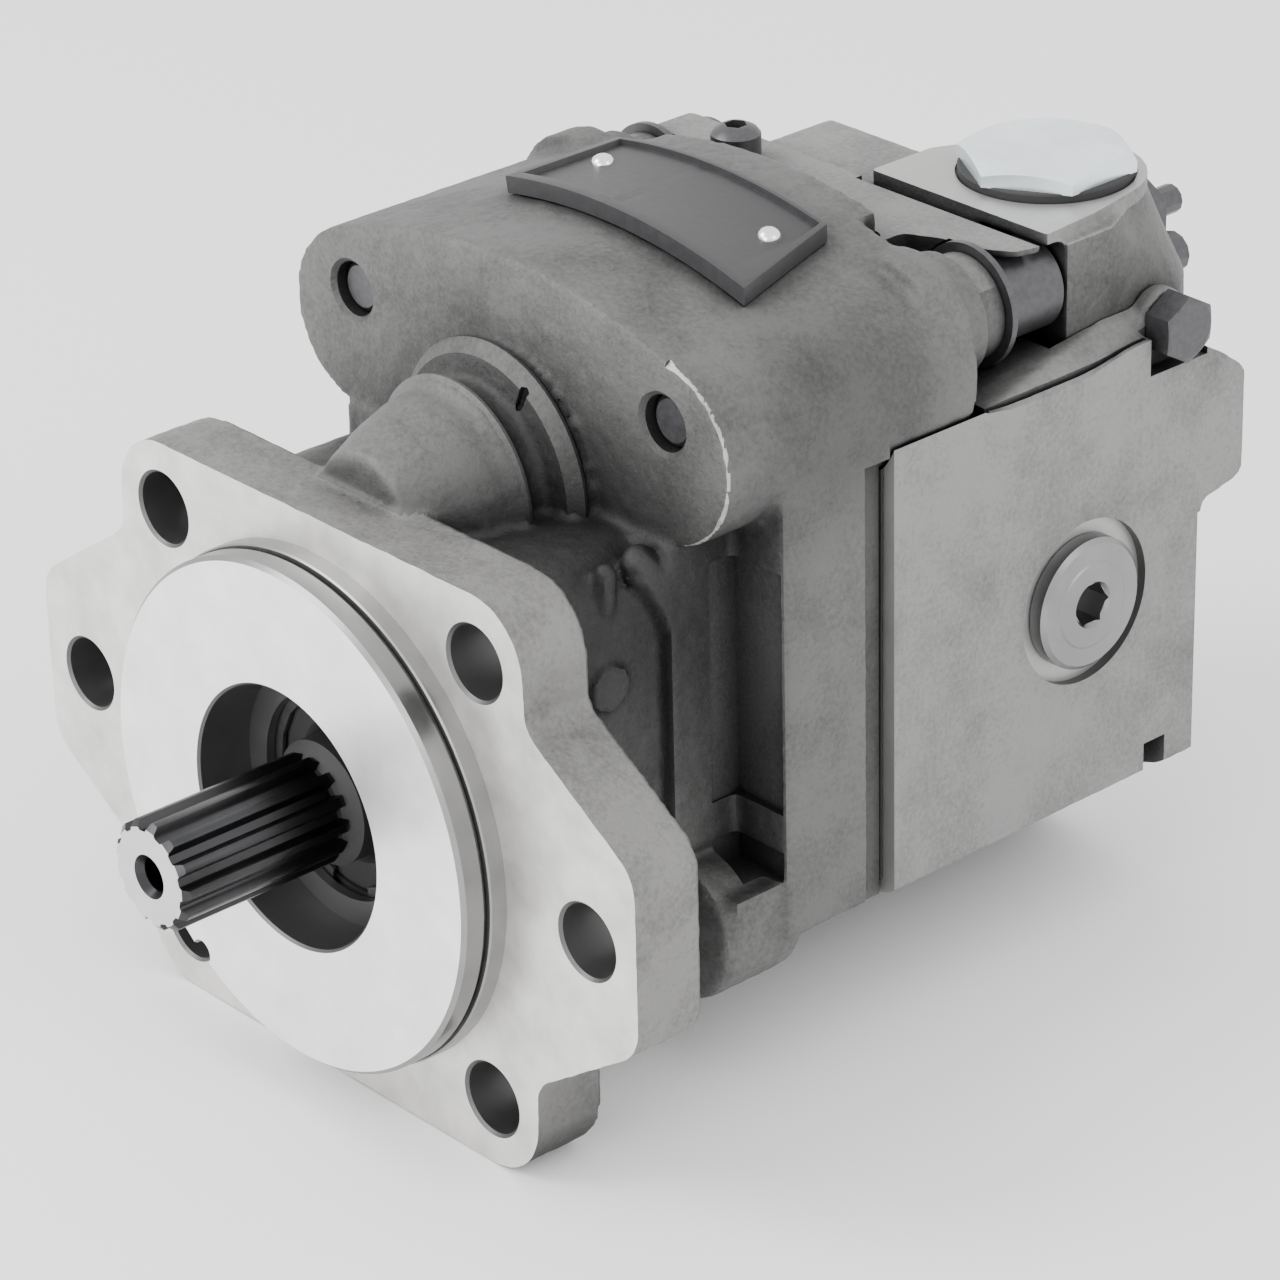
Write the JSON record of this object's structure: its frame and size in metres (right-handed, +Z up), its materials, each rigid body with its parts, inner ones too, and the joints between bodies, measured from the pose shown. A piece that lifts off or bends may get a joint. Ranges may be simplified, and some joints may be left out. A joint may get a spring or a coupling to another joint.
{
  "type": "variable axial piston pump",
  "caption": "Variable axial piston pump with a bolted flange, round pilot, splined shaft, cast housing, port block, control cap and a working rotating group inside.",
  "frame": {"origin": "centre of the mounting flange's face, on the shaft axis", "axes": "+Y along the shaft towards the port block, +Z up towards the curved plate, +X to the side with the control body"},
  "size_m": [0.172, 0.2388, 0.1584],
  "materials": {
    "housing_iron": "rough cast grey iron with machined flange and pilot faces",
    "block_iron": "rough cast grey iron with machined side and rear faces",
    "control_iron": "cast iron with a machined top",
    "zinc_steel": "zinc-plated steel",
    "dark_steel": "dark oxide steel",
    "shaft_steel": "hardened dark steel with a ground end",
    "ground_steel": "ground steel",
    "bronze": "plain bronze",
    "label_black": "black plate without lettering",
    "rubber": "black rubber",
    "spring_steel": "spring steel"
  },
  "bodies": {
    "housing": {"front_housing": "housing_iron", "rear_block": "block_iron", "control_valve_body": "control_iron", "control_cap": "zinc_steel", "side_plug_right": "zinc_steel", "side_plug_left": "zinc_steel", "gauge_plug": "dark_steel", "vent_plug": "dark_steel", "adjuster_nut": "dark_steel", "name_plate": "label_black", "name_plate_rivet_1": "zinc_steel", "name_plate_rivet_2": "zinc_steel", "housing_bolt_1": "dark_steel", "housing_bolt_2": "dark_steel", "housing_bolt_3": "dark_steel", "housing_bolt_4": "dark_steel", "shaft_seal": "rubber", "seal_snap_ring": "spring_steel", "front_bearing_outer": "ground_steel", "rear_bearing": "ground_steel", "cradle_bearing_left": "bronze", "cradle_bearing_right": "bronze", "valve_plate": "bronze", "bias_spring": "spring_steel", "spool_spring": "spring_steel", "housing_gasket": "rubber", "control_screw_1": "dark_steel", "control_screw_2": "dark_steel"},
    "shaft": {"drive_shaft": "shaft_steel", "cylinder_barrel": "ground_steel", "ball_guide": "ground_steel", "barrel_spring": "spring_steel", "barrel_spring_ring": "spring_steel", "front_bearing_inner": "ground_steel"},
    "roller_cage": {"front_bearing_rollers": "ground_steel"},
    "swash": {"swashplate": "ground_steel"},
    "retainer": {"retainer_plate": "spring_steel"},
    "control": {"control_piston": "ground_steel"},
    "bias_seat": {"bias_spring_seat": "ground_steel"},
    "spool": {"compensator_spool": "ground_steel"},
    "adjuster": {"adjuster_screw": "ground_steel"},
    "slipper_1_body": {"slipper_1": "bronze"},
    "piston_1_body": {"piston_1": "ground_steel"},
    "slipper_2_body": {"slipper_2": "bronze"},
    "piston_2_body": {"piston_2": "ground_steel"},
    "slipper_3_body": {"slipper_3": "bronze"},
    "piston_3_body": {"piston_3": "ground_steel"},
    "slipper_4_body": {"slipper_4": "bronze"},
    "piston_4_body": {"piston_4": "ground_steel"},
    "slipper_5_body": {"slipper_5": "bronze"},
    "piston_5_body": {"piston_5": "ground_steel"},
    "slipper_6_body": {"slipper_6": "bronze"},
    "piston_6_body": {"piston_6": "ground_steel"},
    "slipper_7_body": {"slipper_7": "bronze"},
    "piston_7_body": {"piston_7": "ground_steel"},
    "slipper_8_body": {"slipper_8": "bronze"},
    "piston_8_body": {"piston_8": "ground_steel"},
    "slipper_9_body": {"slipper_9": "bronze"},
    "piston_9_body": {"piston_9": "ground_steel"}
  },
  "joints": [
    {"name": "shaft_spin", "type": "hinge", "parent": "housing", "child": "shaft", "pos_m": [0, 0, 0], "axis": [0, 1, 0], "continuous": true},
    {"name": "roller_orbit", "type": "hinge", "parent": "housing", "child": "roller_cage", "pos_m": [0, 0, 0], "axis": [0, 1, 0], "continuous": true},
    {"name": "swash_tilt", "type": "hinge", "parent": "housing", "child": "swash", "pos_m": [0, 0.08, 0], "axis": [1, 0, 0], "range_deg": [0, 15], "stiffness_Nm_per_rad": 15, "springref_deg": -17.19},
    {"name": "retainer_spin", "type": "hinge", "parent": "swash", "child": "retainer", "pos_m": [0, 0.08, 0], "axis": [0, 0.9659, -0.2588], "continuous": true},
    {"name": "control_stroke", "type": "slide", "parent": "housing", "child": "control", "axis": [0, -1, 0], "range_m": [0, 0.01452]},
    {"name": "bias_stroke", "type": "slide", "parent": "housing", "child": "bias_seat", "axis": [0, -1, 0], "range_m": [0, 0.01452], "deforming": ["bias_spring"]},
    {"name": "spool_stroke", "type": "slide", "parent": "housing", "child": "spool", "axis": [0, 1, 0], "range_m": [0, 0.0018], "stiffness_N_per_m": 5000, "springref_m": -0.001, "deforming": ["spool_spring"]},
    {"name": "adjuster_set", "type": "slide", "parent": "housing", "child": "adjuster", "axis": [0, 1, 0], "range_m": [0, 0.002]},
    {"name": "slipper_1_turn", "type": "hinge", "parent": "retainer", "child": "slipper_1_body", "pos_m": [0, 0.08711, 0.02653], "axis": [0, 0.9659, -0.2588], "continuous": true},
    {"name": "piston_1_swing", "type": "hinge", "parent": "slipper_1_body", "child": "piston_1_body", "pos_m": [0, 0.08711, 0.02653], "axis": [1, 0, 0], "range_deg": [-15, 0]},
    {"name": "slipper_2_turn", "type": "hinge", "parent": "retainer", "child": "slipper_2_body", "pos_m": [-0.01766, 0.08545, 0.02032], "axis": [0, 0.9659, -0.2588], "continuous": true},
    {"name": "piston_2_swing", "type": "hinge", "parent": "slipper_2_body", "child": "piston_2_body", "pos_m": [-0.01766, 0.08545, 0.02032], "axis": [1, 0, 0], "range_deg": [-15, 0]},
    {"name": "slipper_3_turn", "type": "hinge", "parent": "retainer", "child": "slipper_3_body", "pos_m": [-0.02705, 0.08123, 0.00461], "axis": [0, 0.9659, -0.2588], "continuous": true},
    {"name": "piston_3_swing", "type": "hinge", "parent": "slipper_3_body", "child": "piston_3_body", "pos_m": [-0.02705, 0.08123, 0.00461], "axis": [1, 0, 0], "range_deg": [-15, 0]},
    {"name": "slipper_4_turn", "type": "hinge", "parent": "retainer", "child": "slipper_4_body", "pos_m": [-0.02379, 0.07645, -0.01327], "axis": [0, 0.9659, -0.2588], "continuous": true},
    {"name": "piston_4_swing", "type": "hinge", "parent": "slipper_4_body", "child": "piston_4_body", "pos_m": [-0.02379, 0.07645, -0.01327], "axis": [1, 0, 0], "range_deg": [-15, 0]},
    {"name": "slipper_5_turn", "type": "hinge", "parent": "retainer", "child": "slipper_5_body", "pos_m": [-0.00939, 0.07332, -0.02493], "axis": [0, 0.9659, -0.2588], "continuous": true},
    {"name": "piston_5_swing", "type": "hinge", "parent": "slipper_5_body", "child": "piston_5_body", "pos_m": [-0.00939, 0.07332, -0.02493], "axis": [1, 0, 0], "range_deg": [-15, 0]},
    {"name": "slipper_6_turn", "type": "hinge", "parent": "retainer", "child": "slipper_6_body", "pos_m": [0.00939, 0.07332, -0.02493], "axis": [0, 0.9659, -0.2588], "continuous": true},
    {"name": "piston_6_swing", "type": "hinge", "parent": "slipper_6_body", "child": "piston_6_body", "pos_m": [0.00939, 0.07332, -0.02493], "axis": [1, 0, 0], "range_deg": [-15, 0]},
    {"name": "slipper_7_turn", "type": "hinge", "parent": "retainer", "child": "slipper_7_body", "pos_m": [0.02379, 0.07645, -0.01327], "axis": [0, 0.9659, -0.2588], "continuous": true},
    {"name": "piston_7_swing", "type": "hinge", "parent": "slipper_7_body", "child": "piston_7_body", "pos_m": [0.02379, 0.07645, -0.01327], "axis": [1, 0, 0], "range_deg": [-15, 0]},
    {"name": "slipper_8_turn", "type": "hinge", "parent": "retainer", "child": "slipper_8_body", "pos_m": [0.02705, 0.08123, 0.00461], "axis": [0, 0.9659, -0.2588], "continuous": true},
    {"name": "piston_8_swing", "type": "hinge", "parent": "slipper_8_body", "child": "piston_8_body", "pos_m": [0.02705, 0.08123, 0.00461], "axis": [1, 0, 0], "range_deg": [-15, 0]},
    {"name": "slipper_9_turn", "type": "hinge", "parent": "retainer", "child": "slipper_9_body", "pos_m": [0.01766, 0.08545, 0.02032], "axis": [0, 0.9659, -0.2588], "continuous": true},
    {"name": "piston_9_swing", "type": "hinge", "parent": "slipper_9_body", "child": "piston_9_body", "pos_m": [0.01766, 0.08545, 0.02032], "axis": [1, 0, 0], "range_deg": [-15, 0]}
  ],
  "couplings": [
    {"joint": "roller_orbit", "follows": "shaft_spin", "ratio": 0.4228},
    {"joint": "retainer_spin", "follows": "shaft_spin", "ratio": 1},
    {"joint": "control_stroke", "follows": "swash_tilt", "m_per_rad": 0.055415},
    {"joint": "bias_stroke", "follows": "swash_tilt", "m_per_rad": 0.055415},
    {"joint": "slipper_1_turn", "follows": "shaft_spin", "ratio": -1},
    {"joint": "piston_1_swing", "follows": "swash_tilt", "ratio": -1},
    {"joint": "slipper_2_turn", "follows": "shaft_spin", "ratio": -1},
    {"joint": "piston_2_swing", "follows": "swash_tilt", "ratio": -1},
    {"joint": "slipper_3_turn", "follows": "shaft_spin", "ratio": -1},
    {"joint": "piston_3_swing", "follows": "swash_tilt", "ratio": -1},
    {"joint": "slipper_4_turn", "follows": "shaft_spin", "ratio": -1},
    {"joint": "piston_4_swing", "follows": "swash_tilt", "ratio": -1},
    {"joint": "slipper_5_turn", "follows": "shaft_spin", "ratio": -1},
    {"joint": "piston_5_swing", "follows": "swash_tilt", "ratio": -1},
    {"joint": "slipper_6_turn", "follows": "shaft_spin", "ratio": -1},
    {"joint": "piston_6_swing", "follows": "swash_tilt", "ratio": -1},
    {"joint": "slipper_7_turn", "follows": "shaft_spin", "ratio": -1},
    {"joint": "piston_7_swing", "follows": "swash_tilt", "ratio": -1},
    {"joint": "slipper_8_turn", "follows": "shaft_spin", "ratio": -1},
    {"joint": "piston_8_swing", "follows": "swash_tilt", "ratio": -1},
    {"joint": "slipper_9_turn", "follows": "shaft_spin", "ratio": -1},
    {"joint": "piston_9_swing", "follows": "swash_tilt", "ratio": -1}
  ]
}
